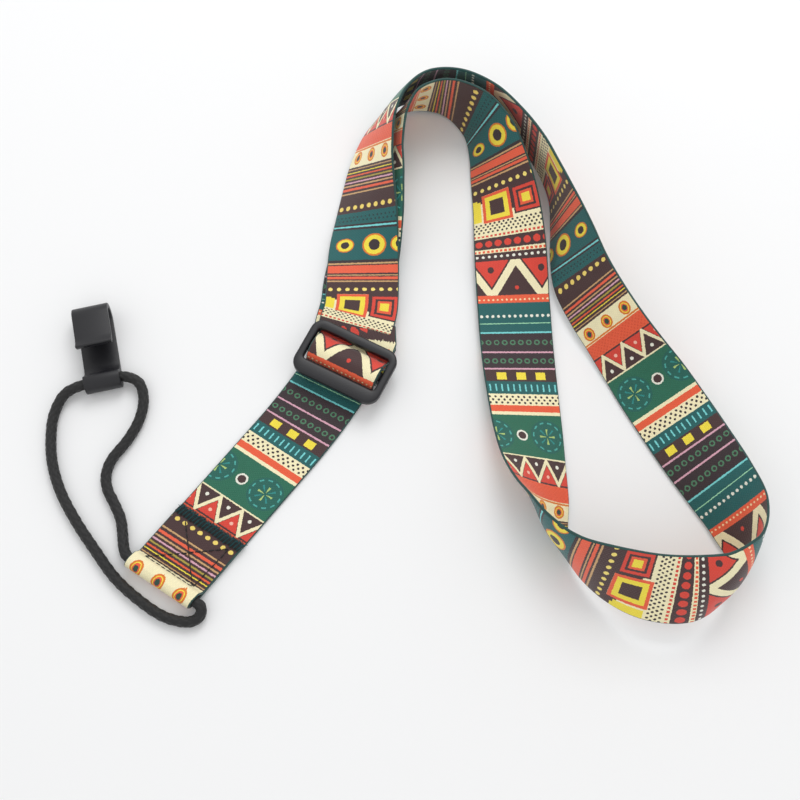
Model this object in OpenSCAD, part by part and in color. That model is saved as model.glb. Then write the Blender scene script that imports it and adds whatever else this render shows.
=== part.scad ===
// Printed webbing neck strap: adjuster slider, braided cord loop and sound-hole hook.
// Lies flat on a table. Units: mm, +Z up.

/* [Webbing] */
// Webbing width
web_w = 25; // [20:1:30]
// Webbing thickness
web_t = 1.0; // [0.8:0.1:1.4]
// Length of the flat tail from the cord fold to the slider
tail_len = 88.6; // [80:0.1:92]
// Length of the sewn flap that is folded back over the tail
flap_len = 25; // [20:1:30]

/* [Slider] */
// Slider size across the webbing
slider_w = 31.6; // [30:1:36]
// Slider size along the webbing
slider_l = 20.4; // [18:1:24]
// Slider frame thickness
slider_t = 3; // [2.4:0.1:3.2]
// Height of the frame's underside above the table
slider_z = 5.2; // [5:0.1:6]

/* [Cord] */
// Cord diameter
cord_d = 3.5; // [3:0.1:3.6]

/* [Hook] */
// Hook width
hook_w = 12; // [10:0.5:14]
// Hook plate thickness
hook_t = 1.8; // [1.4:0.1:2]
// Clear gap between the two hook plates
hook_gap = 5.6; // [4.5:0.1:6.5]
// Height of the hook from the eye's axis to the bend
hook_l = 22; // [20:1:26]
// Length of the front plate
front_l = 8; // [6:1:9]

/* [Hidden] */
$fn = 64;
BLACK = [0.05, 0.05, 0.055];
BLACK_CORD = [0.06, 0.06, 0.06];
TEAL = [0.05, 0.33, 0.33];
ORANGE = [0.86, 0.30, 0.16];
CREAM = [0.93, 0.87, 0.66];
BROWN = [0.20, 0.13, 0.12];
GREEN = [0.10, 0.36, 0.27];

// Middle of the strap in plan, which is set at the origin
middle = [1.114, 20.67];
// Tail: its folded end, and the direction in which it runs to the slider
tail_end = [-76.4, -63];
tail_turn = 51;
// Skew of the fold and flap across the webbing, as sewn
skew = 0.11;
// Slider: its centre, and the turn of its bars
slider_at = [-18, 11.3];
slider_turn = -27;
bar_y = [-1.4, 1.9];
bar_z = [slider_z + 0.2, slider_z + 1.9];
// Tunnel round the cord
tunnel_r = cord_d / 2 + 0.2;
tunnel_o = tunnel_r + web_t;
// Hook: the eye's axis, and the turn of that axis
eye_at = [-98.6, 5.6];
eye_turn = 13;
eye_o = 3.5;
eye_r = cord_d / 2 + 0.45;
bend_r = hook_gap / 2;

// Route of the webbing round the neck loop, from the slider and back to it:
// x, y, tilt of the width from the table in degrees, lift off the table, bow across the width.
ROUTE = [
    [-15.2, 24.2, 0, 3.7, 0],
    [-13.2, 31.5, 1, 3.5, 0],
    [-12.8, 42, 4, 2.9, 0],
    [-12.5, 53, 14, 1.9, 0],
    [-11.7, 64, 28, 0.5, 0],
    [-11, 75, 41, 0, 0],
    [-9.7, 86.5, 52, 1, 0],
    [-6.8, 98, 62, 2, 0.5],
    [-0.5, 108, 71, 2.5, 1],
    [9, 113.8, 79, 1.5, 1],
    [21.5, 113.8, 82, 0.5, 0.5],
    [33.3, 107.3, 84, 0.1, 0],
    [42.3, 97, 86, 0.1, 0],
    [49, 86, 88, 0.15, 0],
    [53.4, 74.4, 92, 0.15, 0],
    [56, 63, 104, 0.15, 0],
    [58, 51.7, 118, 1, 0],
    [60.5, 40.4, 128, 2, 0],
    [65.3, 29.7, 130, 2, 0],
    [71.3, 19.5, 131, 1, 0],
    [77.6, 10, 138, 0, 0],
    [84.2, 0.4, 150, 0, 0],
    [90.4, -9.8, 154, 0, 0],
    [96, -20.4, 148, 0, 0],
    [101.5, -31, 139, 0, 0],
    [106.5, -42, 125, 0, 1],
    [107.5, -53.5, 97, 0.5, 3],
    [100.5, -63, 66, 4, 4],
    [89, -66.5, 46, 7, 2],
    [76, -65.2, 48, 6.5, 0],
    [64, -61.2, 62, 4, 1],
    [53, -54.8, 84, 1.5, 2.5],
    [46.8, -45.5, 110, 0, 4],
    [44.8, -34.7, 133, 0, 2],
    [43.2, -23.2, 149, 0, 0],
    [41.8, -11.6, 160, 0, 0],
    [40.7, 0, 166, 0.2, 0],
    [39.8, 11.8, 172, 0.2, 0],
    [39.2, 23.6, 176, 0.4, 0],
    [38.7, 35.4, 179, 1.6, 0],
    [38.2, 47, 186, 2.4, 0],
    [37.6, 58.6, 198, 1.5, 0],
    [36.6, 70.2, 210, 0.4, 0],
    [34.7, 81.6, 222, 0, 0],
    [32, 92.6, 237, 0, 0],
    [26.4, 102.3, 255, 0, 0],
    [15.8, 108.9, 274, 0.5, 0],
    [5, 107.3, 287, 1.5, 0],
    [-2, 99.6, 297, 1.2, 0],
    [-5.9, 88.5, 307, 0.4, 0],
    [-7.5, 77.1, 317.5, 0, 0],
    [-9.3, 65.7, 331, 0, 0],
    [-11.6, 54, 345, 0, 0],
    [-13.8, 42.8, 356, 0.3, 0],
    [-14.8, 33.5, 359, 0.72, 0.1],
    [-16.7, 25.4, 360, 1.25, 0.15]
];

// Route of the cord: out of the tunnel, through the eye and back. x, y, height of its centre.
function on_axis(t) = let (a = tail_turn - 90, d = unit([cos(a) - sin(a) * skew, sin(a) + cos(a) * skew]))
    [tail_end[0] - sin(a) * tunnel_o + t * d[0], tail_end[1] + cos(a) * tunnel_o + t * d[1], tunnel_o];
CORD = [
    on_axis(0), on_axis(-6), on_axis(-11.5), on_axis(-13.3), [-86.9, -52, 2.8], [-87.7, -49.4, 2.6],
    [-88.3, -46, 2.2], [-89.4, -41, 1.8], [-91.8, -36, 1.75], [-94.4, -31.2, 1.75], [-95.3, -26.3, 1.75],
    [-93.8, -21, 1.75], [-89.2, -14.4, 1.75], [-86, -7.6, 1.75], [-85, -0.6, 2],
    [-86.9, 5.2, 2.7], [-92.2, 7.1, 3.5], [-98.6, 5.6, 3.5], [-105, 4.1, 3.5],
    [-110.8, 1.4, 2.7], [-113.8, -4.2, 2], [-114.6, -11, 1.75], [-113.4, -21.3, 1.75],
    [-109.8, -31.4, 1.75], [-104, -41.2, 1.75], [-96.8, -51, 1.75], [-89.6, -60, 1.75],
    [-81.4, -67, 1.75], [-73.8, -71.8, 1.75], [-67, -73.6, 1.85], [-63.4, -72.9, 2.1],
    [-61.9, -71, 2.5], [-62.1, -69, 2.8], on_axis(13.3), on_axis(11.5), on_axis(6), on_axis(0)
];
CORD_SIDES = 8;

// Running strap over the slider's centre bar, and the sewn loop round that bar: [y, z] in the slider.
OVER_BAR = [
    [-9.4, 1.8], [-7.2, 1.9], [-5.4, 3.2], [-4.3, 5.8], [-3.3, 8.2], [-1.2, 9.35], [0.8, 9.3],
    [2.9, 8.5], [4.3, 6.9], [5.2, 5.2], [6.4, 4.3], [8, 4.2], [10, 4.2]
];
BAR_LOOP = [
    [10, 1.75], [5, 1.75], [1.4, 1.85], [-1, 2.6], [-2.3, 4.4], [-2.4, 6.6], [-1.4, 7.95], [0.4, 8.05],
    [2.4, 7.6], [3.3, 5.9], [4, 3.9], [5.3, 2.95], [7, 2.86], [10, 2.86]
];
// Cord-end fold: [y, z] from the fold along the tail
FOLD = [
    for (a = [-90 : -15 : -270]) [tunnel_o + (tunnel_r + web_t / 2) * cos(a),
                                  tunnel_o + (tunnel_r + web_t / 2) * sin(a)],
    [tunnel_o + 2.1, 4.7], [tunnel_o + 2.9, 3.1], [tunnel_o + 3.6, 1.9], [tunnel_o + 4.6, 1.54],
    [tunnel_o + 5.6, 1.5]
];
flap_y = tunnel_o + 5.6;

function mix(a, b, c, d, f) =
    0.5 * (2 * b + (c - a) * f + (2 * a - 5 * b + 4 * c - d) * f * f
           + (3 * b - a - 3 * c + d) * f * f * f);
function smooth(p, i, f) = let (n = len(p) - 1, b = p[i], c = p[min(i + 1, n)],
    a = i > 0 ? p[i - 1] : 2 * b - c, d = i + 2 <= n ? p[i + 2] : 2 * c - b)
    mix(a, b, c, d, f);
function run(p, from, to, per) = [
    for (i = [from : to - 1]) for (k = [0 : per - 1]) smooth(p, i, k / per),
    to < len(p) - 1 ? smooth(p, to, 0) : p[to]
];
function unit(v) = v / norm(v);
function at_table(q) =
    [q[0], q[1], web_w / 2 * abs(sin(q[2])) + web_t / 2 * abs(cos(q[2])) + q[3]];
// One section of the webbing: a flat or bowed slice across its width
ACROSS = 4;
function section(q, t) = let (
    side = unit(cross(t, [0, 0, 1])), top = cross(side, t),
    w = cos(q[2]) * side + sin(q[2]) * top, n = cross(w, t), c = at_table(q), bow = q[4],
    half = web_w / 2 - 0.6 * bow * bow / 12.5)
    [for (s = [1, -1]) for (k = [0 : ACROSS]) let (u = s * (1 - 2 * k / ACROSS))
        c + w * half * u + n * (bow * (0.4 - u * u) + s * web_t / 2)];
function tangent(p, i) = let (n = len(p) - 1)
    unit(at_table(p[min(i + 1, n)]) - at_table(p[max(i - 1, 0)]));

module centred() translate([-middle[0], -middle[1], 0]) children();

// A closed tube of sections, with capped ends. Every section lists its points the same way round.
module skin(sections) {
    m = len(sections[0]);
    n = len(sections);
    polyhedron(
        points = [for (s = sections) for (p = s) p],
        faces = [
            for (k = [0 : m / 2 - 2]) let (e = (n - 1) * m)
                each [[k + 1, k, m - 2 - k], [k, m - 1 - k, m - 2 - k],
                      [e + k, e + k + 1, e + m - 2 - k], [e + k, e + m - 2 - k, e + m - 1 - k]],
            for (i = [0 : n - 2]) for (k = [0 : m - 1]) let (j = (k + 1) % m)
                each k < m / 2
                    ? [[i * m + k, i * m + j, (i + 1) * m + j],
                       [i * m + k, (i + 1) * m + j, (i + 1) * m + k]]
                    : [[i * m + k, i * m + j, (i + 1) * m + k],
                       [i * m + j, (i + 1) * m + j, (i + 1) * m + k]]
        ], convexity = 8);
}
PER = 3;
ALL = run(ROUTE, 0, len(ROUTE) - 1, PER);
module webbing(from, to) {
    centred() skin([for (i = [from * PER : to * PER]) section(ALL[i], tangent(ALL, i))]);
}

// Flat strip bent in one plane, swept straight across the webbing
function normal2(p, i) = let (n = len(p) - 1, d = unit(p[min(i + 1, n)] - p[max(i - 1, 0)]))
    [-d[1], d[0]];
module strip(points, w, per) {
    p = run(points, 0, len(points) - 1, per);
    rotate([90, 0, 90]) translate([0, 0, -w / 2]) linear_extrude(w)
        polygon([
            for (i = [0 : len(p) - 1]) p[i] + normal2(p, i) * web_t / 2,
            for (i = [len(p) - 1 : -1 : 0]) p[i] - normal2(p, i) * web_t / 2
        ]);
}
module in_tail() centred() translate([tail_end[0], tail_end[1], 0]) rotate(tail_turn - 90) children();
module in_slider() centred() translate([slider_at[0], slider_at[1], 0]) rotate(slider_turn) children();
module in_hook() centred() translate([eye_at[0], eye_at[1], 0]) rotate(eye_turn) children();

// ---- cord end of the webbing ----
module webbing_tail()
    color(GREEN) in_tail() linear_extrude(web_t) polygon([
        [-web_w / 2, tunnel_o - skew * web_w / 2], [web_w / 2, tunnel_o + skew * web_w / 2],
        [web_w / 2, tail_len], [-web_w / 2, tail_len]
    ]);
module skewed() multmatrix([[1, 0, 0, 0], [skew, 1, 0, 0], [0, 0, 1, 0], [0, 0, 0, 1]]) children();
module webbing_cord_fold()
    color(CREAM) in_tail() skewed() strip(FOLD, web_w, 2);
module webbing_flap()
    color(BROWN) in_tail() skewed()
        translate([-web_w / 2, flap_y, web_t]) cube([web_w, flap_len - flap_y, web_t]);
module flap_fringe()
    color(TEAL) in_tail() skewed() translate([0, flap_len, web_t]) union() {
        translate([-web_w / 2 + 0.2, 0, 0]) cube([web_w - 0.4, 0.8, web_t * 0.9]);
        for (i = [-8 : 8])
            translate([i * 1.45 - 0.45, 0.7, 0]) cube([0.9, 0.7 + 0.4 * (abs(i) % 3), web_t * 0.9]);
    }
// Thread of the box and cross, laid on the flap
module seam(a, b, z) let (d = b - a)
    translate([a[0], a[1], z]) rotate(atan2(d[1], d[0])) translate([0, -0.25, 0])
        cube([norm(d), 0.5, 0.3]);
module box_stitching()
    color(BLACK_CORD) in_tail() skewed() union() {
        z = 2 * web_t;
        x = web_w / 2 - 2;
        y0 = flap_y + 0.6;
        y1 = flap_len - 3.5;
        seam([-x, y0], [x, y0], z);
        seam([-x, y1], [x, y1], z);
        seam([-x, y0], [x, y1], z);
        seam([x, y0], [-x, y1], z);
    }

// ---- slider ----
module corner_rect(w, l, r) union() {
    square([w - 2 * r, l], center = true);
    square([w, l - 2 * r], center = true);
    for (x = [-1, 1]) for (y = [-1, 1]) translate([x * (w / 2 - r), y * (l / 2 - r)]) circle(r);
}
module slider_frame()
    color(BLACK) in_slider() union() {
        translate([0, 0, slider_z]) linear_extrude(slider_t) difference() {
            translate([0, -0.35]) corner_rect(slider_w, slider_l, 4.5);
            translate([0, 0.55]) corner_rect(web_w + 1.4, slider_l - 8.5, 1.2);
        }
        translate([-web_w / 2 - 1, bar_y[0], bar_z[0]])
            cube([web_w + 2, bar_y[1] - bar_y[0], bar_z[1] - bar_z[0]]);
    }
module webbing_over_bar() color(ORANGE) in_slider() strip(OVER_BAR, web_w - 0.4, 4);
module webbing_bar_loop() color(TEAL) in_slider() strip(BAR_LOOP, web_w - 0.6, 4);
module bar_loop_stitching()
    color(BLACK_CORD) in_slider() translate([0, 7.8, 2.86 + web_t / 2]) union() {
        translate([-11, 0, 0]) cube([22, 0.4, 0.15]);
        for (i = [-4 : 4]) translate([i * 2.4 - 0.8, 0, 0.1]) cube([1.6, 0.4, 0.15]);
    }

// ---- neck loop ----
module webbing_left_leg_outer() color(TEAL) webbing(0, 7);
module webbing_top_bend_outer() color(GREEN) webbing(7, 12);
module webbing_right_leg_upper() color(BROWN) webbing(12, 18);
module webbing_right_leg_lower() color(CREAM) webbing(18, 24);
module webbing_right_corner() color(ORANGE) webbing(24, 28);
module webbing_bottom_run() color(BROWN) webbing(28, 31);
module webbing_left_corner() color(TEAL) webbing(31, 35);
module webbing_inner_leg_lower() color(GREEN) webbing(35, 39);
module webbing_inner_leg_upper() color(CREAM) webbing(39, 44);
module webbing_top_bend_inner() color(ORANGE) webbing(44, 48);
module webbing_left_leg_inner() color(BROWN) webbing(48, 55);

// ---- cord ----
CORD_RUN = [for (i = [0 : len(CORD) - 2]) for (k = [0 : 1]) let (n = len(CORD) - 1)
    mix(CORD[i > 0 ? i - 1 : n - 1], CORD[i], CORD[i + 1], CORD[i + 2 <= n ? i + 2 : 1], k / 2)];
function cord_dir(i) = let (n = len(CORD_RUN))
    unit(CORD_RUN[(i + 1) % n] - CORD_RUN[(i + n - 1) % n]);
function cord_ring(i) = let (d = cord_dir(i), s = unit(cross(d, [0, 0, 1])), u = cross(s, d))
    [for (k = [0 : CORD_SIDES - 1]) let (a = -360 * (k + 0.5) / CORD_SIDES)
        CORD_RUN[i] + cord_d / 2 * (cos(a) * s + sin(a) * u)];
module cord_loop() color(BLACK_CORD) centred() {
    n = len(CORD_RUN);
    m = CORD_SIDES;
    polyhedron(points = [for (i = [0 : n - 1]) each cord_ring(i)],
        faces = [for (i = [0 : n - 1]) for (k = [0 : m - 1])
            let (j = (k + 1) % m, e = (i + 1) % n)
            each [[i * m + k, i * m + j, e * m + j], [i * m + k, e * m + j, e * m + k]]],
        convexity = 10);
}

// ---- hook ----
module hook_profile() {
    top = 0.2 + 2 * hook_t + hook_gap;
    // back plate, bend, front plate and lip: x is along the hook, y is up
    translate([0, 0.2]) square([hook_l, hook_t]);
    translate([hook_l, 0.2 + hook_t + bend_r]) intersection() {
        difference() {
            circle(bend_r + hook_t);
            circle(bend_r);
        }
        translate([0, -20]) square([20, 40]);
    }
    translate([hook_l - front_l, top - hook_t]) square([front_l, hook_t]);
    translate([hook_l - front_l, top - hook_t]) polygon([
        [0.01, 0], [0.01, hook_t], [-1.6, hook_t + 0.5], [-3.2, hook_t + 1.6], [-3.6, hook_t + 1.1],
        [-3.4, 0.9], [-1.8, 0.2]
    ]);
}
module hook_clip() color(BLACK) in_hook() difference() {
    union() {
        rotate([90, 0, 90]) translate([0, 0, -hook_w / 2]) linear_extrude(hook_w) hook_profile();
        translate([-hook_w / 2, 0, eye_o]) rotate([0, 90, 0]) cylinder(h = hook_w, r = eye_o);
        translate([0, 9.5, 0.2 + hook_t - 0.1]) cylinder(h = 0.9, r1 = 2, r2 = 1.2);
    }
    translate([-hook_w, 0, eye_o]) rotate([0, 90, 0]) cylinder(h = 2 * hook_w, r = eye_r);
}

webbing_tail();
webbing_cord_fold();
webbing_flap();
flap_fringe();
box_stitching();
slider_frame();
webbing_over_bar();
webbing_bar_loop();
bar_loop_stitching();
webbing_left_leg_outer();
webbing_top_bend_outer();
webbing_right_leg_upper();
webbing_right_leg_lower();
webbing_right_corner();
webbing_bottom_run();
webbing_left_corner();
webbing_inner_leg_lower();
webbing_inner_leg_upper();
webbing_top_bend_inner();
webbing_left_leg_inner();
cord_loop();
hook_clip();
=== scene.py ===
"""Printed neck strap with a slider, a braided cord loop and a sound-hole hook, on a white table."""
import math
import random
import bmesh
import bpy
import numpy as np
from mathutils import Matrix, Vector


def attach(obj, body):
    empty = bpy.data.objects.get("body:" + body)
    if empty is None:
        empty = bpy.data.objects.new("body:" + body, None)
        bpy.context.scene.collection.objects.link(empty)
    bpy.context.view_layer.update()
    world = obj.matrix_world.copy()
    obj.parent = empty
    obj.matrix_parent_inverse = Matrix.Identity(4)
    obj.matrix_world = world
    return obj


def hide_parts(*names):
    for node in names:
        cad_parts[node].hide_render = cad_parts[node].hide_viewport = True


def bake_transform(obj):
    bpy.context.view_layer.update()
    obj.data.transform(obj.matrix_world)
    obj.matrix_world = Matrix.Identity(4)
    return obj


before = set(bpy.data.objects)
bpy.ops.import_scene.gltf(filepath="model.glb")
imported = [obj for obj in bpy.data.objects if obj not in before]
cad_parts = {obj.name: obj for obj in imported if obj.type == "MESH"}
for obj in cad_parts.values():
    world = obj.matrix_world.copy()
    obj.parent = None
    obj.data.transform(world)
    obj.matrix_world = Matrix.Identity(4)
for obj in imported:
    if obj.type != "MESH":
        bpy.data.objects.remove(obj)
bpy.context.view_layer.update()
random.seed(7)

# The CAD's own coordinates, in mm, are shifted in plan to the row frame.
SHIFT = np.array([1.114, 20.67, 0.0])


def row(p):
    """Points in the CAD's mm to the row frame's metres."""
    return (np.asarray(p, float) - SHIFT) / 1000


def unit(v):
    v = np.asarray(v, float)
    return v / np.maximum(np.linalg.norm(v, axis=-1, keepdims=True), 1e-12)


def catmull(points, per, closed=False):
    """A smooth curve through the points, with per samples for each interval."""
    p = np.asarray(points, float)
    n = len(p)
    out = []
    f = np.arange(per)[:, None] / per
    for i in range(n if closed else n - 1):
        if closed:
            a, b, c, d = p[i - 1], p[i], p[(i + 1) % n], p[(i + 2) % n]
        else:
            b, c = p[i], p[i + 1]
            a = p[i - 1] if i else 2 * b - c
            d = p[i + 2] if i + 2 < n else 2 * c - b
        out.append(0.5 * (2 * b + (c - a) * f + (2 * a - 5 * b + 4 * c - d) * f ** 2
                          + (3 * b - a - 3 * c + d) * f ** 3))
    if not closed:
        out.append(p[-1:])
    return np.concatenate(out)


def tangents(c, closed=False):
    if closed:
        return unit(np.roll(c, -1, 0) - np.roll(c, 1, 0))
    return unit(np.concatenate([c[1:2] - c[:1], c[2:] - c[:-2], c[-1:] - c[-2:-1]]))


def mesh_object(name, verts, faces, smooth=True):
    """verts in the row frame's metres."""
    me = bpy.data.meshes.new(name)
    me.from_pydata([tuple(v) for v in verts], [], [tuple(f) for f in faces])
    me.validate()
    bm = bmesh.new()
    bm.from_mesh(me)
    bmesh.ops.recalc_face_normals(bm, faces=bm.faces)
    bm.to_mesh(me)
    bm.free()
    for f in me.polygons:
        f.use_smooth = smooth
    ob = bpy.data.objects.new(name, me)
    bpy.context.scene.collection.objects.link(ob)
    return ob


def tube_parts(rings, closed=False, caps=True):
    """Vertices and faces of a skin over rings of equal size."""
    n, m = len(rings), len(rings[0])
    verts = np.concatenate(rings)
    faces = []
    for i in range(n if closed else n - 1):
        j = (i + 1) % n
        for k in range(m):
            l = (k + 1) % m
            faces.append((i * m + k, i * m + l, j * m + l, j * m + k))
    if caps and not closed:
        faces += [tuple(range(m))[::-1], tuple((n - 1) * m + k for k in range(m))]
    return verts, faces


# ---------------------------------------------------------------- camera
bpy.context.scene.view_settings.view_transform = "Standard"
cam_data = bpy.data.cameras.new("camera")
cam_data.sensor_width = 36
cam_data.lens = 51.3
cam_data.clip_start = 0.01
camera = bpy.data.objects.new("camera", cam_data)
bpy.context.scene.collection.objects.link(camera)
camera.location = row((0, -123.72, 359.3))
camera.rotation_euler = (math.radians(19), 0, 0)
bpy.context.scene.camera = camera

# ---------------------------------------------------------------- routes, in the CAD's mm
TAIL_END, TAIL_TURN, SKEW = np.array([-76.4, -63, 0.0]), math.radians(51), 0.11


def on_axis(t):
    """A point on the tunnel's axis."""
    c, n = math.cos(TAIL_TURN - math.pi / 2), math.sin(TAIL_TURN - math.pi / 2)
    d = np.array([c - n * SKEW, n + c * SKEW, 0]) / math.hypot(1, SKEW)
    return tuple(TAIL_END + (-n * 2.95, c * 2.95, 2.95) + t * d)


CORD = [
    on_axis(0), on_axis(-6), on_axis(-11.5), on_axis(-13.3), (-86.9, -52, 2.8), (-87.7, -49.4, 2.6),
    (-88.3, -46, 2.2), (-89.4, -41, 1.8), (-91.8, -36, 1.75), (-94.4, -31.2, 1.75), (-95.3, -26.3, 1.75),
    (-93.8, -21, 1.75), (-89.2, -14.4, 1.75), (-86, -7.6, 1.75), (-85, -0.6, 2),
    (-86.9, 5.2, 2.7), (-92.2, 7.1, 3.5), (-98.6, 5.6, 3.5), (-105, 4.1, 3.5),
    (-110.8, 1.4, 2.7), (-113.8, -4.2, 2), (-114.6, -11, 1.75), (-113.4, -21.3, 1.75),
    (-109.8, -31.4, 1.75), (-104, -41.2, 1.75), (-96.8, -51, 1.75), (-89.6, -60, 1.75),
    (-81.4, -67, 1.75), (-73.8, -71.8, 1.75), (-67, -73.6, 1.85), (-63.4, -72.9, 2.1),
    (-61.9, -71, 2.5), (-62.1, -69, 2.8), on_axis(13.3), on_axis(11.5), on_axis(6),
]
# x, y, tilt of the width in degrees, lift off the table, bow across the width
ROUTE = [
    (-15.2, 24.2, 0, 3.7, 0), (-13.2, 31.5, 1, 3.5, 0), (-12.8, 42, 4, 2.9, 0), (-12.5, 53, 14, 1.9, 0),
    (-11.7, 64, 28, 0.5, 0), (-11, 75, 41, 0, 0), (-9.7, 86.5, 52, 1, 0), (-6.8, 98, 62, 2, 0.5),
    (-0.5, 108, 71, 2.5, 1), (9, 113.8, 79, 1.5, 1), (21.5, 113.8, 82, 0.5, 0.5), (33.3, 107.3, 84, 0.1, 0),
    (42.3, 97, 86, 0.1, 0), (49, 86, 88, 0.15, 0), (53.4, 74.4, 92, 0.15, 0), (56, 63, 104, 0.15, 0),
    (58, 51.7, 118, 1, 0), (60.5, 40.4, 128, 2, 0), (65.3, 29.7, 130, 2, 0), (71.3, 19.5, 131, 1, 0),
    (77.6, 10, 138, 0, 0), (84.2, 0.4, 150, 0, 0), (90.4, -9.8, 154, 0, 0), (96, -20.4, 148, 0, 0),
    (101.5, -31, 139, 0, 0), (106.5, -42, 125, 0, 1), (107.5, -53.5, 97, 0.5, 3), (100.5, -63, 66, 4, 4),
    (89, -66.5, 46, 7, 2), (76, -65.2, 48, 6.5, 0), (64, -61.2, 62, 4, 1), (53, -54.8, 84, 1.5, 2.5),
    (46.8, -45.5, 110, 0, 4), (44.8, -34.7, 133, 0, 2), (43.2, -23.2, 149, 0, 0), (41.8, -11.6, 160, 0, 0),
    (40.7, 0, 166, 0.2, 0), (39.8, 11.8, 172, 0.2, 0), (39.2, 23.6, 176, 0.4, 0), (38.7, 35.4, 179, 1.6, 0),
    (38.2, 47, 186, 2.4, 0), (37.6, 58.6, 198, 1.5, 0), (36.6, 70.2, 210, 0.4, 0), (34.7, 81.6, 222, 0, 0),
    (32, 92.6, 237, 0, 0), (26.4, 102.3, 255, 0, 0), (15.8, 108.9, 274, 0.5, 0), (5, 107.3, 287, 1.5, 0),
    (-2, 99.6, 297, 1.2, 0), (-5.9, 88.5, 307, 0.4, 0), (-7.5, 77.1, 317.5, 0, 0), (-9.3, 65.7, 331, 0, 0),
    (-11.6, 54, 345, 0, 0), (-13.8, 42.8, 356, 0.3, 0), (-14.8, 33.5, 359, 0.72, 0.1),
    (-16.7, 25.4, 360, 1.25, 0.15),
]
OVER_BAR = [
    (-8.9, 1.85), (-7.2, 1.9), (-5.4, 3.2), (-4.3, 5.8), (-3.3, 8.2), (-1.2, 9.35), (0.8, 9.3),
    (2.9, 8.5), (4.3, 6.9), (5.2, 5.2), (6.4, 4.3), (8, 4.2), (10, 4.2),
]
BAR_LOOP = [
    (10, 1.75), (5, 1.75), (1.4, 1.85), (-1, 2.6), (-2.3, 4.4), (-2.4, 6.6), (-1.4, 7.95), (0.4, 8.05),
    (2.4, 7.6), (3.3, 5.9), (4, 3.9), (5.3, 2.95), (7, 2.86), (10, 2.86),
]
WIDTH, THICK = 25.0, 1.0
SLIDER_AT, SLIDER_TURN = np.array([-18, 11.3, 0.0]), math.radians(-27)
SLIDER_Z = 5.2
EYE_AT, EYE_TURN = np.array([-98.6, 5.6, 0.0]), math.radians(13)
TUNNEL_R = 3.5 / 2 + 0.2
TUNNEL_O = TUNNEL_R + THICK


def turned(at, angle, x, y, z):
    """Local x, y, z of a turned piece to the CAD's mm."""
    c, s = math.cos(angle), math.sin(angle)
    x, y, z = np.broadcast_arrays(np.asarray(x, float), np.asarray(y, float), np.asarray(z, float))
    return at + np.stack([c * x - s * y, s * x + c * y, z], -1)


def in_tail(x, y, z):
    return turned(TAIL_END, TAIL_TURN - math.pi / 2, x, y, z)


def in_slider(x, y, z):
    return turned(SLIDER_AT, SLIDER_TURN, x, y, z)


def in_hook(x, y, z):
    return turned(EYE_AT, EYE_TURN, x, y, z)


# ---------------------------------------------------------------- materials
class Num:
    """A number in a node tree, with arithmetic."""

    def __init__(self, nt, socket):
        self.nt, self.socket = nt, socket

    def op(self, kind, *args, swap=False):
        node = self.nt.nodes.new("ShaderNodeMath")
        node.operation = kind
        for slot, a in zip(node.inputs, (list(args) + [self] if swap else [self] + list(args))):
            if isinstance(a, Num):
                self.nt.links.new(a.socket, slot)
            else:
                slot.default_value = float(a)
        return Num(self.nt, node.outputs[0])

    def __add__(self, o): return self.op("ADD", o)
    __radd__ = __add__
    def __sub__(self, o): return self.op("SUBTRACT", o)
    def __rsub__(self, o): return self.op("SUBTRACT", o, swap=True)
    def __mul__(self, o): return self.op("MULTIPLY", o)
    __rmul__ = __mul__
    def __truediv__(self, o): return self.op("DIVIDE", o)
    def __lt__(self, o): return self.op("LESS_THAN", o)
    def __gt__(self, o): return self.op("GREATER_THAN", o)
    def __mod__(self, o): return self.op("FLOORED_MODULO", o)
    def __or__(self, o): return self.op("MAXIMUM", o)
    def __and__(self, o): return self.op("MULTIPLY", o)
    def abs(self): return self.op("ABSOLUTE")
    def floor(self): return self.op("FLOOR")
    def root(self): return self.op("SQRT")
    def sin(self): return self.op("SINE")


def lin(c):
    """An sRGB colour, 0 to 255, as linear light."""
    out = []
    for v in c:
        v /= 255
        out.append(v / 12.92 if v <= 0.04045 else ((v + 0.055) / 1.055) ** 2.4)
    return tuple(out) + (1.0,)


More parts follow.
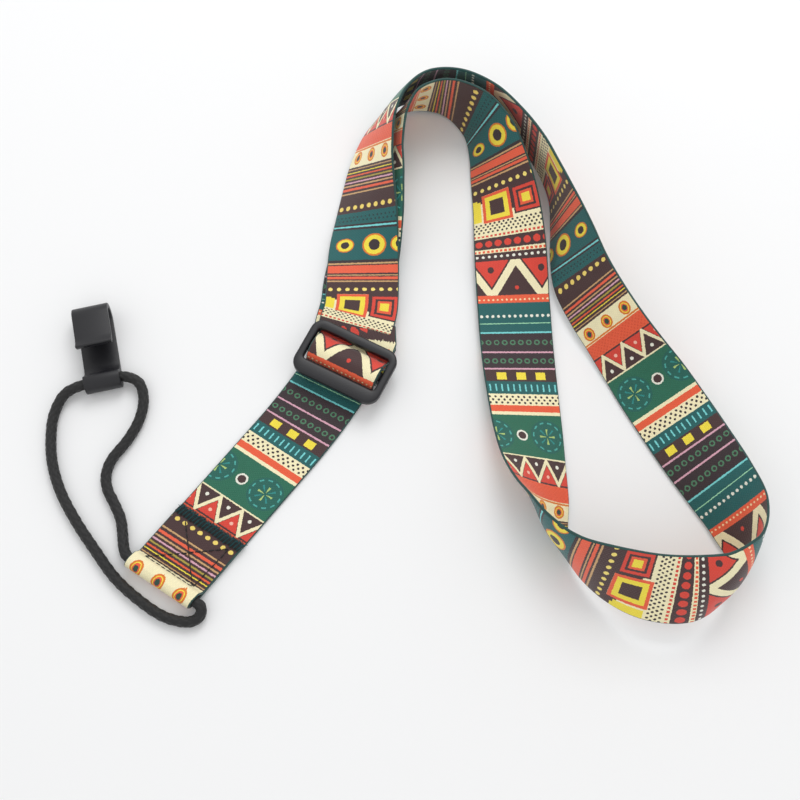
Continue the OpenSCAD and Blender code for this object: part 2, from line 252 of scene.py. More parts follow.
class Tree:
    """A material's node tree and the colour it builds up."""

    def __init__(self, name, **shader):
        self.mat = bpy.data.materials.new(name)
        self.mat.use_nodes = True
        self.nt = self.mat.node_tree
        self.shader = self.nt.nodes["Principled BSDF"]
        for k, v in shader.items():
            self.shader.inputs[k.replace("_", " ")].default_value = v
        self.colour = None

    def node(self, kind, **inputs):
        n = self.nt.nodes.new(kind)
        for k, v in inputs.items():
            if isinstance(v, Num):
                self.nt.links.new(v.socket, n.inputs[k])
            elif isinstance(v, bpy.types.NodeSocket):
                self.nt.links.new(v, n.inputs[k])
            else:
                n.inputs[k].default_value = v
        return n

    def vector(self, x, y, z=0.0):
        return self.node("ShaderNodeCombineXYZ", X=x, Y=y, Z=z).outputs[0]

    def noise(self, vector, scale, detail=2.0):
        tex = self.node("ShaderNodeTexNoise", Vector=vector, Scale=scale, Detail=detail)
        return Num(self.nt, tex.outputs["Fac"])

    def paint(self, mask, colour):
        """Lays a colour over the one so far, where the mask is 1."""
        mix = self.nt.nodes.new("ShaderNodeMix")
        mix.data_type = "RGBA"
        self.nt.links.new(mask.socket, mix.inputs[0])
        for slot, c in ((mix.inputs[6], self.colour), (mix.inputs[7], colour)):
            if isinstance(c, tuple):
                slot.default_value = c
            else:
                self.nt.links.new(c, slot)
        self.colour = mix.outputs[2]

    def shade(self, factor):
        """Multiplies the colour so far by a number."""
        mix = self.node("ShaderNodeVectorMath")
        mix.operation = "SCALE"
        self.nt.links.new(self.colour, mix.inputs[0])
        self.nt.links.new(factor.socket, mix.inputs[3])
        self.colour = mix.outputs[0]

    def bump(self, height, distance, strength=1.0):
        b = self.node("ShaderNodeBump", Height=height, Distance=distance, Strength=strength)
        self.nt.links.new(b.outputs[0], self.shader.inputs["Normal"])

    def done(self):
        if self.colour is not None and not isinstance(self.colour, tuple):
            self.nt.links.new(self.colour, self.shader.inputs["Base Color"])
        return self.mat


CREAM, ORANGE, RED = lin((250, 240, 196)), lin((238, 92, 52)), lin((222, 62, 44))
TEAL, GREEN, BROWN = lin((0, 92, 92)), lin((22, 104, 78)), lin((66, 38, 38))
DARK, YELLOW, AMBER = lin((46, 30, 36)), lin((247, 226, 62)), lin((226, 122, 24))
PINK, CYAN, MINT = lin((222, 168, 186)), lin((120, 216, 216)), lin((160, 222, 180))
TAN, RINGS, CORAL = lin((206, 164, 112)), lin((72, 124, 92)), lin((240, 96, 62))
WHITE, OLIVE, EDGE = lin((240, 240, 226)), lin((176, 158, 60)), lin((8, 66, 62))
REPEAT = 168.8
# Where each band of the print starts along the webbing, in mm
BANDS = [
    (0, GREEN), (15.4, CREAM), (16.5, ORANGE), (18.9, CREAM), (23.1, TEAL), (27.8, BROWN), (32.2, PINK),
    (32.9, DARK), (38.3, PINK), (39.0, DARK), (46.0, CYAN), (46.5, TEAL), (49.3, MINT), (49.8, TEAL),
    (57.1, ORANGE), (60, BROWN), (76.0, CREAM), (77.4, BROWN), (82.0, CREAM), (88.6, CREAM),
    (99.6, BROWN), (105.0, TAN), (105.5, BROWN), (106.2, CORAL), (107.2, BROWN), (107.6, TAN), (108.0, BROWN),
    (108.5, CORAL), (111.3, BROWN), (111.7, TAN), (112.2, DARK), (113.3, TEAL),
    (124.3, DARK), (125.1, CYAN), (125.8, DARK), (126.5, TEAL), (131.0, BROWN),
    (138.2, TAN), (138.6, BROWN), (139.4, CORAL), (140.3, BROWN), (141.0, TAN), (141.4, BROWN), (142.2, PINK),
    (142.6, BROWN), (143.3, OLIVE), (143.8, BROWN), (144.4, ORANGE), (145.0, BROWN), (145.6, YELLOW),
    (146.0, BROWN), (146.8, TAN), (147.2, BROWN), (147.9, CREAM), (154.4, ORANGE), (159.6, BROWN),
]


def printed_webbing():
    t = Tree("printed_webbing", Roughness=0.62, Sheen_Weight=0.25, Sheen_Roughness=0.5)
    web = t.nt.nodes.new("ShaderNodeAttribute")
    web.attribute_name = "web"
    xyz = t.node("ShaderNodeSeparateXYZ", Vector=web.outputs["Vector"])
    s0, u0 = Num(t.nt, xyz.outputs[0]), Num(t.nt, xyz.outputs[1])
    place = t.vector(s0, u0)
    # the ink bleeds a little along the threads
    s = s0 + (t.noise(place, 1.6) - 0.5) * 0.5
    u = u0 + (t.noise(t.vector(s0 + 400.0, u0), 1.6) - 0.5) * 0.5
    s = s % REPEAT

    def ramp(lo, hi):
        rows = [(max(a, lo), c) for i, (a, c) in enumerate(BANDS)
                if a < hi and (BANDS[i + 1][0] if i + 1 < len(BANDS) else REPEAT) > lo]
        r = t.node("ShaderNodeValToRGB", Fac=(s - lo) / (hi - lo))
        r.color_ramp.interpolation = "CONSTANT"
        e = r.color_ramp.elements
        while len(e) > 1:
            e.remove(e[-1])
        e[0].position, e[0].color = 0, rows[0][1]
        for a, c in rows[1:]:
            x = e.new((a - lo) / (hi - lo))
            x.color = c
        return r.outputs[0]

    t.colour = ramp(0, 76)
    t.paint(s > 76.0, ramp(76, 126))
    t.paint(s > 126.0, ramp(126, REPEAT))

    def band(a, b):
        return (s > a) & (s < b)

    def dots(at, period, radius, first, colour, inner=None, oval=1.0):
        """A row of dots across the webbing, or of rings."""
        du = (u - first + period / 2) % period - period / 2
        ds = (s - at) * oval
        d = (du * du + ds * ds).root()
        t.paint(d < radius, colour)
        if inner:
            t.paint(d < inner[0], inner[1])

    def disc(at, across, rs, ru, colour):
        ds, du = (s - at) / rs, (u - across) / ru
        t.paint((ds * ds + du * du) < 1.0, colour)

    def box(at, across, hs, hu, colour):
        t.paint(((s - at).abs() < hs) & ((u - across).abs() < hu), colour)

    # green band: dotted flower discs and a white ring
    for across in (18.8, 0.6):
        ds, du = s - 7.8, u - across
        r = (ds * ds + du * du).root()
        turn = ds.op("ARCTAN2", du)
        t.paint(r < 5.9, lin((10, 96, 84)))
        t.paint((r > 4.7) & (r < 5.2) & ((turn * 11.0).sin() > -0.1), lin((70, 170, 160)))
        t.paint((r > 1.0) & (r < 3.3) & ((turn * 4.0 - 1.5708).sin() > 0.92), lin((30, 140, 136)))
        t.paint((r > 0.5) & (r < 2.7) & ((turn * 4.0 + 1.5708).sin() > 0.86), lin((178, 206, 120)))
    disc(7.8, 9.6, 2.0, 2.0, WHITE)
    disc(7.8, 9.6, 1.4, 1.4, BROWN)
    # black dots on cream
    for at, first in ((19.9, 0.6), (21.0, 1.6), (22.1, 0.6)):
        dots(at, 2.0, 0.42, first, DARK)
    # light dashes on teal
    t.paint(band(24.2, 26.8) & ((u - 1.1) % 2.05 < 0.5), CYAN)
    # yellow blocks
    for across in (5.9, 12.6, 19.3):
        box(29.9, across, 1.35, 1.65, YELLOW)
    # rows of rings
    dots(35.6, 2.75, 1.0, 1.6, RINGS, (0.52, DARK))
    dots(42.6, 2.75, 1.0, 2.8, RINGS, (0.52, DARK))
    dots(52.4, 1.9, 0.52, 1.2, WHITE)
    dots(58.5, 1.55, 0.36, 0.9, lin((252, 222, 170)))
    # big triangles
    zig = ((u - 5.4) % 17.2 - 8.6).abs() * (-1.53) + 73.1
    zone = band(60.3, 73.0)
    t.paint(zone & ((s - zig - 3.4) > 0.0), RED)
    t.paint(zone & ((s - zig).abs() < 2.3), CREAM)
    for across in (5.4, 22.6):
        disc(69.6, across, 1.2, 1.1, BROWN)
    disc(63.0, 14.0, 0.7, 0.7, RED)
    dots(74.6, 2.1, 0.5, 1.0, WHITE)
    # dashed lines and red dots
    t.paint(band(76.2, 77.1) & (u % 1.5 < 0.9), ORANGE)
    dots(79.7, 3.35, 1.25, 1.9, RED)
    t.paint(band(82.5, 83.3) & (u % 1.5 < 0.9), RED)
    for at, first in ((84.5, 0.5), (85.6, 1.3), (86.7, 0.5), (87.7, 1.3)):
        dots(at, 1.65, 0.4, first, DARK)
    # nested squares
    t.paint(band(96.6, 99.8) & (u < 4.2), BROWN)
    t.paint(band(91.6, 99.8) & (u > 14.6), BROWN)
    box(93.6, 1.6, 4.6, 1.75, YELLOW)
    box(98.8, 2.9, 1.3, 0.8, BROWN)
    box(93.9, 9.4, 5.7, 5.4, ORANGE)
    box(93.9, 9.4, 4.6, 4.3, YELLOW)
    box(93.9, 9.4, 2.9, 2.6, BROWN)
    box(94.3, 20.4, 4.9, 4.9, BROWN)
    box(94.3, 20.4, 4.3, 4.3, RED)
    box(94.3, 20.4, 3.2, 3.2, BROWN)
    box(94.3, 20.4, 2.4, 2.4, ORANGE)
    box(94.3, 20.4, 1.5, 1.5, YELLOW)
    dots(101.8, 2.9, 0.75, 1.7, lin((250, 226, 120)))
    # eyes on teal
    for across, rs, ru in ((5.8, 2.5, 3.3), (16.4, 4.0, 4.3), (25.6, 3.0, 3.4)):
        disc(118.6, across, rs, ru, AMBER)
        disc(118.6, across, rs * 0.86, ru * 0.86, YELLOW)
        disc(118.6, across, rs * 0.5, ru * 0.46, DARK)
    for at, first in ((127.9, 0.4), (129.2, 1.2)):
        dots(at, 1.6, 0.34, first, lin((4, 46, 50)))
    dots(133.0, 2.95, 0.85, 1.8, lin((246, 218, 110)))
    # eyes on cream
    for across in (4.4, 12.6, 20.8):
        disc(151.1, across, 2.35, 2.15, AMBER)
        disc(151.1, across, 1.75, 1.55, YELLOW)
        disc(151.1, across, 1.45, 1.25, ORANGE)
        disc(151.1, across, 0.95, 0.85, lin((24, 70, 56)))
    t.paint(band(153.6, 154.2), AMBER)
    t.paint(band(155.0, 159.2) & ((u * 4.2).sin() * (s * 4.2).sin() > 0.35), lin((226, 76, 40)))
    # small zigzag
    zig = (u % 8.4 - 4.2).abs() * 1.8 + 160.2
    zone = band(159.6, 168.4)
    t.paint(zone & ((zig - s) > 1.5) & (s > 160.2), RED)
    t.paint(zone & ((s - zig).abs() < 1.15), CREAM)
    dots(162.4, 8.4, 0.6, 0.0, lin((250, 190, 170)))
    dots(166.2, 8.4, 0.62, 4.2, WHITE)
    t.paint(s > 168.3, CREAM)
    # selvedge and wear, and painted shade in the grooves of the weave
    edge = (u0 - 12.5).abs() + (t.noise(place, 3.0) - 0.5) * 0.25
    t.paint(edge > 12.12, EDGE)
    rib = (u0 * (math.pi / 0.55)).sin()
    pick = ((s0 * (2 * math.pi / 0.9)) + (u0 / 0.55).floor() * math.pi).sin()
    weave = rib.abs() * (pick * 0.35 + 0.65)
    grain = t.noise(place, 0.35, 3.0)
    # painted shade: the colour is darkened in the grooves between the weave's ribs; the grain adds tone that
    # differs at random
    t.shade(weave * 0.12 + grain * 0.16 + 0.83)
    t.bump(weave + t.noise(place, 5.0) * 0.4, 0.00016, 0.55)
    return t.done()


def plain(name, colour, rough, sheen=0.0, scale=900.0, depth=0.00004, amount=0.3, coat=0.0):
    t = Tree(name, Roughness=rough, Sheen_Weight=sheen, Coat_Weight=coat)
    co = t.nt.nodes.new("ShaderNodeTexCoord").outputs["Object"]
    n = t.noise(co, scale, 3.0)
    t.colour = colour
    t.paint(n * 1.0, tuple(min(1.0, v * (1 + amount)) for v in colour[:3]) + (1.0,))
    t.bump(n, depth, 0.6)
    return t.done()


WEB = printed_webbing()
PLASTIC = plain("black_plastic", lin((22, 22, 26)), 0.42, scale=2200, depth=0.00003, amount=0.4)
CORD_MAT = plain("black_cord", lin((12, 12, 13)), 0.6, sheen=0.1, scale=1500, depth=0.0001, amount=0.9)
THREAD = plain("black_thread", lin((14, 13, 16)), 0.6, sheen=0.05, scale=2500)
FRINGE = plain("selvedge_fringe", lin((6, 62, 66)), 0.75, sheen=0.1, scale=700, amount=0.6)


# ---------------------------------------------------------------- webbing
# places across the width, closer at the rounded edges
EDGE_PLACES = [12.0, 12.2, 12.4, 12.5]
ACROSS = np.concatenate([[-v for v in EDGE_PLACES[::-1]], np.linspace(-11.2, 11.2, 15), EDGE_PLACES])[::-1]


def ribbon_rings(name, c, t, w, s, bow, skew=None, print_skew=0.0):
    """Closed webbing on given frames; a skew moves its right side along the tail's local y."""
    n = unit(np.cross(w, t))
    a = ACROSS
    half = 1 - 0.6 * bow * bow / 12.5 / 12.5
    e = np.sqrt(np.clip(1 - (np.clip(np.abs(a) - 12.0, 0, None) / 0.5) ** 2, 0, 1)) * THICK / 2
    arch = bow[:, None] * (0.4 - (a / 12.5) ** 2)
    mid = c[:, None] + w[:, None] * (half[:, None] * a)[..., None] + n[:, None] * arch[..., None]
    top = mid + n[:, None] * e[None, :, None]
    low = (mid - n[:, None] * e[None, :, None])[:, 1:-1][:, ::-1]
    rings = np.concatenate([top, low], 1)
    if skew is not None:
        along = in_tail(0, 1, 0) - TAIL_END
        rings = rings + (skew[:, None] * np.concatenate([a, a[1:-1][::-1]]))[..., None] * along
    m, k = rings.shape[1], len(a)
    verts, faces = tube_parts(list(rings))
    me = bpy.data.meshes.new(name)
    me.from_pydata([tuple(v) for v in row(verts)], [], faces)
    for f in me.polygons:
        f.use_smooth = True
    attr = me.attributes.new("web", "FLOAT_VECTOR", "CORNER")
    u = np.concatenate([a, a[1:-1][::-1]]) + 12.5
    values = np.zeros((len(me.loops), 3), np.float32)
    vi = np.zeros(len(me.loops), int)
    me.loops.foreach_get("vertex_index", vi)
    for f in me.polygons:
        on_top = (min(v % m for v in f.vertices) < k - 1) and max(v % m for v in f.vertices) < k
        for li in f.loop_indices:
            i, j = divmod(vi[li], m)
            at = s[i] - (print_skew - (skew[i] if skew is not None else 0)) * (u[j] - 12.5)
            values[li] = (at, u[j], 0) if on_top else (at + 19, 25 - u[j], 0)
    attr.data.foreach_set("vector", values.ravel())
    me.materials.append(WEB)
    ob = bpy.data.objects.new(name, me)
    bpy.context.scene.collection.objects.link(ob)
    return ob


def flat_path(profile, place, per=6):
    """A bent strip's centres and widths from its [y, z] profile in a turned piece."""
    p = catmull(profile, per)
    c = place(0, p[:, 0], p[:, 1])
    w = np.broadcast_to(unit(place(1, 0, 0) - place(0, 0, 0)), c.shape)
    return c, w


def arc_length(c):
    return np.concatenate([[0], np.cumsum(np.linalg.norm(np.diff(c, axis=0), axis=1))])


# where the print lies on the outer leg's stations, and over the slider's bar
LEG_S = (80.8, 93.2, 106.3, 117.2, 128.3, 139.5, 151, 162, 174)
WAVE_Y, WAVE_S = (-8.9, 0.4, 4.4, 6.6, 10), (50.5, 63.8, 68.6, 71.9, 77.5)

# the neck loop, with the strap over the slider's bar before it and the sewn loop round the bar after it
q = catmull(ROUTE, 10)
tilt = np.radians(q[:, 2])
centres = np.column_stack([q[:, 0], q[:, 1],
                           WIDTH / 2 * np.abs(np.sin(tilt)) + THICK / 2 * np.abs(np.cos(tilt)) + q[:, 3]])
t0 = tangents(centres)
side = unit(np.cross(t0, [0, 0, 1]))
widths = np.cos(tilt)[:, None] * side + np.sin(tilt)[:, None] * np.cross(side, t0)
bows = q[:, 4]
wave_c, wave_w = flat_path(OVER_BAR, in_slider)
loop_c, loop_w = flat_path(BAR_LOOP, in_slider)


def bridge(c0, w0, c1, w1, n):
    """A smooth run between the ends of two runs of webbing."""
    a, b = c0[-1], c1[0]
    ta, tb = unit(c0[-1] - c0[-2]), unit(c1[1] - c1[0])
    d = np.linalg.norm(b - a)
    f = (np.arange(1, n + 1) / (n + 1))[:, None]
    h = (2 * f ** 3 - 3 * f ** 2 + 1) * a + (f ** 3 - 2 * f ** 2 + f) * ta * d + \
        (-2 * f ** 3 + 3 * f ** 2) * b + (f ** 3 - f ** 2) * tb * d
    return h, unit(w0[-1] * (1 - f) + w1[0] * f)


b1c, b1w = bridge(wave_c, wave_w, centres, widths, 4)
b2c, b2w = bridge(centres, widths, loop_c, loop_w, 5)
C = np.concatenate([wave_c, b1c, centres, b2c, loop_c])
W = np.concatenate([wave_w, b1w, widths, b2w, loop_w])
BOW = np.concatenate([np.zeros(len(wave_c) + 4), bows, np.zeros(5 + len(loop_c))])
first = len(wave_c) + 4
last = first + len(centres) - 1
S = np.zeros(len(C))
station = np.arange(len(centres)) / 10
S[first:last + 1] = np.where(station < 8, np.interp(station, range(9), LEG_S), 78 + 12 * station)
after = arc_length(C[last:])
slider_y = np.array([-math.sin(SLIDER_TURN), math.cos(SLIDER_TURN), 0])
wave_y = wave_c @ slider_y - SLIDER_AT @ slider_y
S[:len(wave_c)] = np.interp(arc_length(wave_c), np.interp(WAVE_Y, wave_y, arc_length(wave_c)), WAVE_S)
S[len(wave_c):first] = S[len(wave_c) - 1] + (LEG_S[0] - S[len(wave_c) - 1]) * np.arange(1, 5) / 5
S[last:] = S[last] + after
T = tangents(C)
W = unit(W - T * (W * T).sum(1)[:, None])


def piece(name, a, b):
    return ribbon_rings(name, C[a:b + 1], T[a:b + 1], W[a:b + 1], S[a:b + 1], BOW[a:b + 1])


cut1, cut2 = first + 70, first + 480
leg_outer = piece("strap_over_bar_and_outer_leg", 0, cut1)
neck_loop = piece("strap_neck_loop", cut1, cut2)
leg_inner = piece("strap_inner_leg_and_bar_loop", cut2, len(C) - 1)

# the tail, its fold round the cord and the flap sewn back on it
arc = np.radians(np.arange(-90, -271, -15))
FOLD = [(TUNNEL_O + (TUNNEL_R + 0.5) * math.cos(a), TUNNEL_O + (TUNNEL_R + 0.5) * math.sin(a)) for a in arc]
FOLD += [(TUNNEL_O + 2.1, 4.7), (TUNNEL_O + 2.9, 3.1), (TUNNEL_O + 3.6, 1.9), (TUNNEL_O + 4.6, 1.5)]
flap = [(y, 1.5) for y in (25, 22, 19, 16, 13, 10)] + FOLD[::-1]
flap += [(y, 0.5) for y in (6, 10, 15, 20, 26, 34, 44, 54, 64, 74, 87.6)]
flap_y, flap_z = catmull(flap, 8).T
low = int(np.argmin(flap_y))
# it runs a little more steeply in plan near the slider
bend = math.radians(7) * np.where(np.arange(len(flap_y)) > low, np.clip((flap_y - 60) / 26, 0, 1), 0)
flap_x = -np.cumsum(np.append(0, np.tan(bend[:-1]) * np.abs(np.diff(flap_y))))
tail_c = in_tail(flap_x, flap_y, flap_z)
tail_w = in_tail(np.cos(bend), np.sin(bend), 0) - TAIL_END
# the print's place at the flap's raw edge, across the flap, over the tunnel, and at the tail's far end
arc_at = arc_length(tail_c)
eye = arc_at[low] - 2.4
tail_s = np.interp(arc_at, np.append(np.interp((-25, -22, -17.5, -6.5), -flap_y[:low], arc_at[:low]),
                                     (eye - 2.8, eye, eye + 2.8, arc_at[low] + 4.5, arc_at[-1])),
                   (-58.3, -55.2, -49.5, -39.8, -39.05, -36.7, -34.4, -33.2, 52.8))
# the fold and flap are skewed, and the skew fades out along the tail
along_tail = np.where(np.arange(len(flap_y)) > low, flap_y, 0)
tail_skew = SKEW * np.clip((34 - along_tail) / 20, 0, 1)
tail = ribbon_rings("strap_tail_and_flap", tail_c, tangents(tail_c), tail_w, tail_s, np.zeros(len(tail_c)),
                    skew=tail_skew, print_skew=0.1)

total = 0.0
for ob, cc, held in ((leg_outer, C[:cut1 + 1], "laid"), (neck_loop, C[cut1:cut2 + 1], "laid"),
                     (leg_inner, C[cut2:], "laid"), (tail, tail_c, "folded")):
    length = arc_length(cc)[-1] / 1000
    total += length
print("webbing length", round(total, 4))
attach(tail, "strap")
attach(neck_loop, "strap")
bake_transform(leg_outer)
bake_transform(leg_inner)
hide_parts("webbing_tail", "webbing_cord_fold", "webbing_flap")
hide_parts("webbing_over_bar", "webbing_left_leg_outer")
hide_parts("webbing_bar_loop", "webbing_left_leg_inner")
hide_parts("webbing_top_bend_outer", "webbing_right_leg_upper", "webbing_right_leg_lower",
            "webbing_right_corner", "webbing_bottom_run", "webbing_left_corner", "webbing_inner_leg_lower",
            "webbing_inner_leg_upper", "webbing_top_bend_inner")

# ---------------------------------------------------------------- braided cord
path = catmull(CORD, 40, closed=True)
length = arc_length(np.vstack([path, path[:1]]))
total_cord = length[-1]
step = 0.28
count = int(total_cord / step)
at = np.arange(count) * total_cord / count
ring_c = np.column_stack([np.interp(at, length, np.append(path[:, k], path[0, k])) for k in range(3)])
dirs = tangents(ring_c, closed=True)
sides = unit(np.cross(dirs, [0, 0, 1]))
ups = np.cross(sides, dirs)
STRANDS, TURN = 6, 3.3
theta = np.arange(44) * 2 * math.pi / 44
laps = round(total_cord / TURN / 2) * 2
p = STRANDS * theta[None, :] / (2 * math.pi) + at[:, None] / total_cord * laps
qq = STRANDS * theta[None, :] / (2 * math.pi) - at[:, None] / total_cord * laps
fp, fq = p % 1.0, qq % 1.0
over = (np.floor(p) + np.floor(qq)) % 2 == 0
ridge = np.where(over, np.sqrt(np.clip(1 - (2 * fp - 1) ** 2, 0, 1)) * (1 - 0.45 * (2 * fq - 1) ** 2),
                 np.sqrt(np.clip(1 - (2 * fq - 1) ** 2, 0, 1)) * (1 - 0.45 * (2 * fp - 1) ** 2))
radius = 1.75 - 0.3 + 0.36 * ridge
outward = np.cos(theta)[None, :, None] * sides[:, None] + np.sin(theta)[None, :, None] * ups[:, None]
rings = ring_c[:, None] + radius[..., None] * outward
verts, faces = tube_parts(list(rings), closed=True)
cord = mesh_object("braided_cord", row(verts), faces)
cord.data.materials.append(CORD_MAT)
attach(cord, "cord")
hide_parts("cord_loop")


# ---------------------------------------------------------------- hook
def arc_points(cx, cy, r, a0, a1, n):
    angles = [math.radians(a0 + (a1 - a0) * i / n) for i in range(n + 1)]
    return [(cx + r * math.cos(a), cy + r * math.sin(a)) for a in angles]


def merged(name, parts, material, smooth=True):
    """One mesh from several skins of (verts in the CAD's mm, faces)."""
    verts, faces, base = [], [], 0
    for v, f in parts:
        verts.append(np.asarray(v))
        faces += [tuple(base + k for k in x) for x in f]
        base += len(v)
    ob = mesh_object(name, row(np.concatenate(verts)), faces, smooth)
    ob.data.materials.append(material)
    return ob


def bevelled(name, outline, w, place, material, bevel=0.35):
    """A bent plate: its [y, z] outline drawn across w, with rounded rims."""
    bm = bmesh.new()
    a = [bm.verts.new(tuple(row(place(-w / 2, y, z)))) for y, z in outline]
    b = [bm.verts.new(tuple(row(place(w / 2, y, z)))) for y, z in outline]
    n = len(a)
    bm.faces.new(a)
    bm.faces.new(b[::-1])
    for i in range(n):
        bm.faces.new((a[i], b[i], b[(i + 1) % n], a[(i + 1) % n]))
    bmesh.ops.recalc_face_normals(bm, faces=bm.faces)
    rims = [e for e in bm.edges if e.calc_face_angle(0) > math.radians(50)]
    bmesh.ops.bevel(bm, geom=rims, offset=bevel / 1000, segments=3, profile=0.5, affect="EDGES",
                    clamp_overlap=True)
    me = bpy.data.meshes.new(name)
    bm.to_mesh(me)
    bm.free()
    for f in me.polygons:
        f.use_smooth = True
    me.materials.append(material)
    ob = bpy.data.objects.new(name, me)
    bpy.context.scene.collection.objects.link(ob)
    return ob


HOOK_T, HOOK_GAP, HOOK_L, FRONT_L, EYE_O = 1.8, 5.6, 22, 8, 3.5
top = 0.2 + 2 * HOOK_T + HOOK_GAP
bend_r = HOOK_GAP / 2
bend_z = 0.2 + HOOK_T + bend_r
front_y = HOOK_L - FRONT_L
outline = (arc_points(0, EYE_O, EYE_O, 64, 278, 40) + [(3.0, 0.2)] + [(HOOK_L, 0.2)]
           + arc_points(HOOK_L, bend_z, bend_r + HOOK_T, -90, 90, 20)[1:]
           + [(front_y, top), (front_y - 1.6, top + 0.5), (front_y - 3.1, top + 1.5),
              (front_y - 3.6, top + 1.2), (front_y - 3.4, top - HOOK_T + 0.9),
              (front_y - 1.8, top - HOOK_T + 0.2), (front_y, top - HOOK_T)]
           + arc_points(HOOK_L, bend_z, bend_r, 90, -90, 16) + [(6.0, 0.2 + HOOK_T), (4.2, 2.4), (3.0, 3.6)])
hook = bevelled("hook", outline, 12, in_hook, PLASTIC)
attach(hook, "hook")
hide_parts("hook_clip")


# ---------------------------------------------------------------- slider
def rounded_rect(w, l, r, cy=0.0, corner=8, edge=6):
    pts = []
    for i, (sx, sy) in enumerate(((1, 1), (-1, 1), (-1, -1), (1, -1))):
        pts += arc_points(sx * (w / 2 - r), cy + sy * (l / 2 - r), r, 90 * i, 90 * i + 90, corner)
        nx, ny = ((-1, 1), (-1, -1), (1, -1), (1, 1))[i]
        a = pts[-1]
        b = (nx * (w / 2 - r), cy + ny * l / 2) if i % 2 == 0 else (nx * w / 2, cy + ny * (l / 2 - r))
        pts += [(a[0] + (b[0] - a[0]) * k / edge, a[1] + (b[1] - a[1]) * k / edge) for k in range(1, edge)]
    return np.array(pts)


outer, inner = rounded_rect(31.6, 20.4, 4.5, -0.35), rounded_rect(26.4, 11.9, 1.2, 0.55)
ang = np.arange(20) * 2 * math.pi / 20
fr = 0.5 + 0.5 * np.sign(np.cos(ang)) * np.abs(np.cos(ang)) ** 0.45
fz = SLIDER_Z + 1.5 + 1.5 * np.sign(np.sin(ang)) * np.abs(np.sin(ang)) ** 0.45
rings = []
for a, b in zip(outer, inner):
    xy = b[None] + (a - b)[None] * fr[:, None]
    rings.append(in_slider(xy[:, 0], xy[:, 1], fz))
frame_skin = tube_parts(rings, closed=True)
by = 0.25 + 1.65 * np.sign(np.cos(ang)) * np.abs(np.cos(ang)) ** 0.6
bz = SLIDER_Z + 1.05 + 0.85 * np.sign(np.sin(ang)) * np.abs(np.sin(ang)) ** 0.6
bar_skin = tube_parts([in_slider(x, by, bz) for x in np.linspace(-13.6, 13.6, 12)])
slider = merged("slider", [frame_skin, bar_skin], PLASTIC)
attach(slider, "slider")
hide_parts("slider_frame")


# ---------------------------------------------------------------- sewing
def stitch(a, b, arch=0.22, radius=0.17, n=5, m=6):
    """A short thread lying on the webbing from a to b, which dips at both ends."""
    a, b = np.asarray(a, float), np.asarray(b, float)
    d = unit(b - a)
    sd = unit(np.cross(d, [0, 0, 1]))
    up = np.cross(sd, d)
    rings = []
    for i in range(n):
        f = i / (n - 1)
        c = a + (b - a) * f + np.array([0, 0, 1]) * arch * (math.sin(math.pi * f) - 0.3)
        rr = radius * (0.55 + 0.45 * math.sin(math.pi * f))
        turns = [k * 2 * math.pi / m for k in range(m)]
        rings.append(np.array([c + rr * (math.cos(k) * sd + math.sin(k) * up) for k in turns]))
    return tube_parts(rings)


def on_flap(x, y):
    """A point on the flap's upper face."""
    z, ahead = np.interp((-y, -y - 0.2), -flap_y[:low], flap_z[:low])
    return in_tail(x, y + SKEW * x, z + 0.5 * math.hypot(1, (ahead - z) / 0.2) + 0.08)


def seam(a, b, pitch=2.1, gap=0.3, radius=0.2):
    a, b = np.array(a, float), np.array(b, float)
    n = max(1, int(round(np.linalg.norm(b - a) / pitch)))
    out = []
    for i in range(n):
        p0 = a + (b - a) * (i + gap / 2 / pitch) / n
        p1 = a + (b - a) * (i + 1 - gap / 2 / pitch) / n
        j = np.array([random.uniform(-0.1, 0.1) for _ in range(4)])
        out.append(stitch(on_flap(*(p0 + j[:2])), on_flap(*(p1 + j[2:])), radius=radius))
    return out


ll, lr, ul, ur = (-9.3, 6.2), (8.8, 6.2), (-7.5, 22.4), (9.4, 22.4)
seams = seam(ll, ur) + seam(ul, lr) + seam(lr, ur) + seam(ll, lr, radius=0.26) + seam((-9.9, 7.0), (9.2, 7.0))
thread = merged("box_x_stitches", seams, THREAD)
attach(thread, "strap")
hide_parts("box_stitching")
bar_seam = [stitch(in_slider(k * 2.4 - 0.9, 8.0, 3.42), in_slider(k * 2.4 + 0.9, 8.0, 3.42))
            for k in range(-4, 5)]
bar_thread = merged("bar_loop_stitches", bar_seam, THREAD)
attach(bar_thread, "slider")
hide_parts("bar_loop_stitching")


# ---------------------------------------------------------------- frayed edge of the flap
def fibre(points, radius, m=5):
    c = catmull(points, 3)
    t = tangents(c)
    sd = unit(np.cross(t, [0.1, 0.2, 1]))
    up = np.cross(sd, t)
    k = np.arange(m) * 2 * math.pi / m
    rings = [c[i] + radius * (1 - 0.5 * i / len(c)) * (np.cos(k)[:, None] * sd[i] + np.sin(k)[:, None] * up[i])
             for i in range(len(c))]
    return tube_parts(rings)


def skewed(points):
    """Points of the skewed flap to the CAD's mm."""
    return [in_tail(x, y + SKEW * x, z) for x, y, z in points]


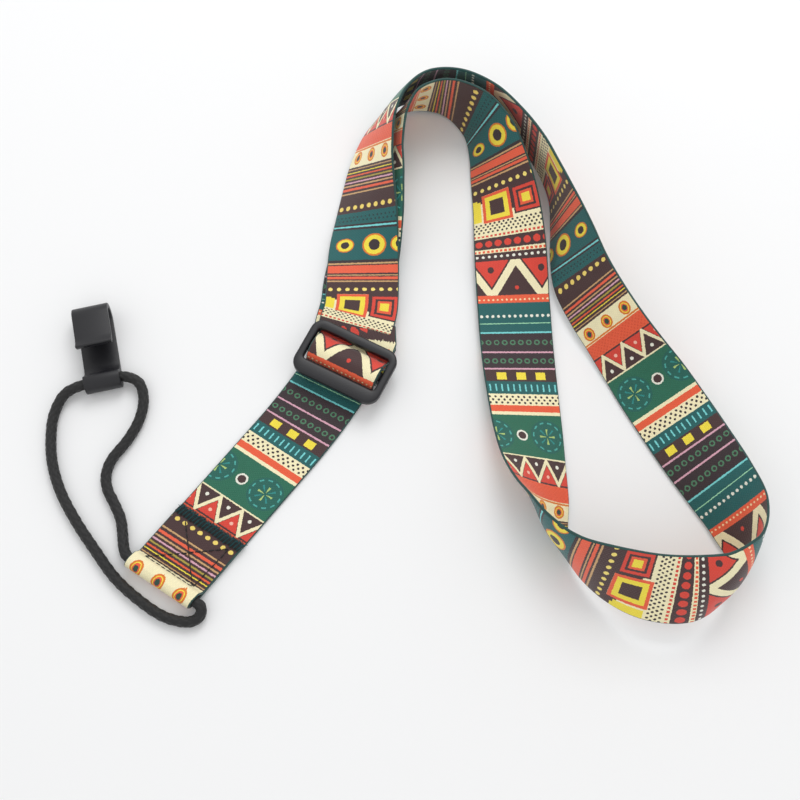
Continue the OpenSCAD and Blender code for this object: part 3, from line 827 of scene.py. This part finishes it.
fibres = []
for i in range(260):
    x = -12.3 + 24.6 * i / 259 + random.uniform(-0.1, 0.1)
    z = random.uniform(1.2, 2.0)
    a = random.uniform(-0.9, 0.9)
    l = random.uniform(0.6, 1.9)
    pts = [(x, 24.6, z), (x + a * 0.2, 25 + l * 0.4, z + random.uniform(0, 0.4)),
           (x + a, 25 + l * 0.8, max(1.15, z + random.uniform(-0.5, 0.3))),
           (x + a * 1.6, 25 + l, max(1.12, z - random.uniform(0.1, 0.6)))]
    fibres.append(fibre(skewed(pts), 0.13))
loops = []
# overlock loops over the raw edge, two black ones for each teal one
for i in range(60):
    x = -12.1 + 24.2 * i / 59
    j = random.uniform(-0.35, 0.35)
    up = random.uniform(0, 0.25)
    pts = [(x - 0.2, 23.2 + j, 2.05), (x + 0.1, 23.9, 2.45 + up), (x + 0.25, 24.9, 2.4 + up),
           (x + 0.3, 25.7, 1.9), (x + 0.45, 26.2 + j, 1.25)]
    group = loops if i % 3 != 1 else fibres
    group.append(fibre(skewed(pts), 0.2))
fringe = merged("frayed_edge", fibres + loops, FRINGE)
black_from = sum(len(f) for _, f in fibres)
fringe.data.materials.append(THREAD)
for f in fringe.data.polygons[black_from:]:
    f.material_index = 1
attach(fringe, "strap")
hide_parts("flap_fringe")

# ---------------------------------------------------------------- floor, light
me = bpy.data.meshes.new("floor")
corners = [(-3, -3), (3, -3), (3, 3), (-3, 3)]
me.from_pydata([(x, y, -0.00005) for x, y in corners], [], [(0, 1, 2, 3)])
floor = bpy.data.objects.new("floor", me)
bpy.context.scene.collection.objects.link(floor)
mat = bpy.data.materials.new("floor")
mat.use_nodes = True
mat.node_tree.nodes["Principled BSDF"].inputs["Base Color"].default_value = (0.9, 0.905, 0.91, 1)
mat.node_tree.nodes["Principled BSDF"].inputs["Roughness"].default_value = 0.9
me.materials.append(mat)

world = bpy.data.worlds.new("world")
bpy.context.scene.world = world
world.use_nodes = True
world.node_tree.nodes["Background"].inputs[0].default_value = (1, 1, 1, 1)
world.node_tree.nodes["Background"].inputs[1].default_value = 0.82


def area(name, location, target, size, power):
    data = bpy.data.lights.new(name, "AREA")
    data.shape, data.size, data.energy = "SQUARE", size, power
    ob = bpy.data.objects.new(name, data)
    bpy.context.scene.collection.objects.link(ob)
    ob.location = location
    d = np.array(target, float) - np.array(location, float)
    ob.rotation_euler = Vector(d).to_track_quat("-Z", "Y").to_euler()
    return ob


area("key", (0.12, 0.6, 0.75), (0, 0, 0), 0.5, 3.2)
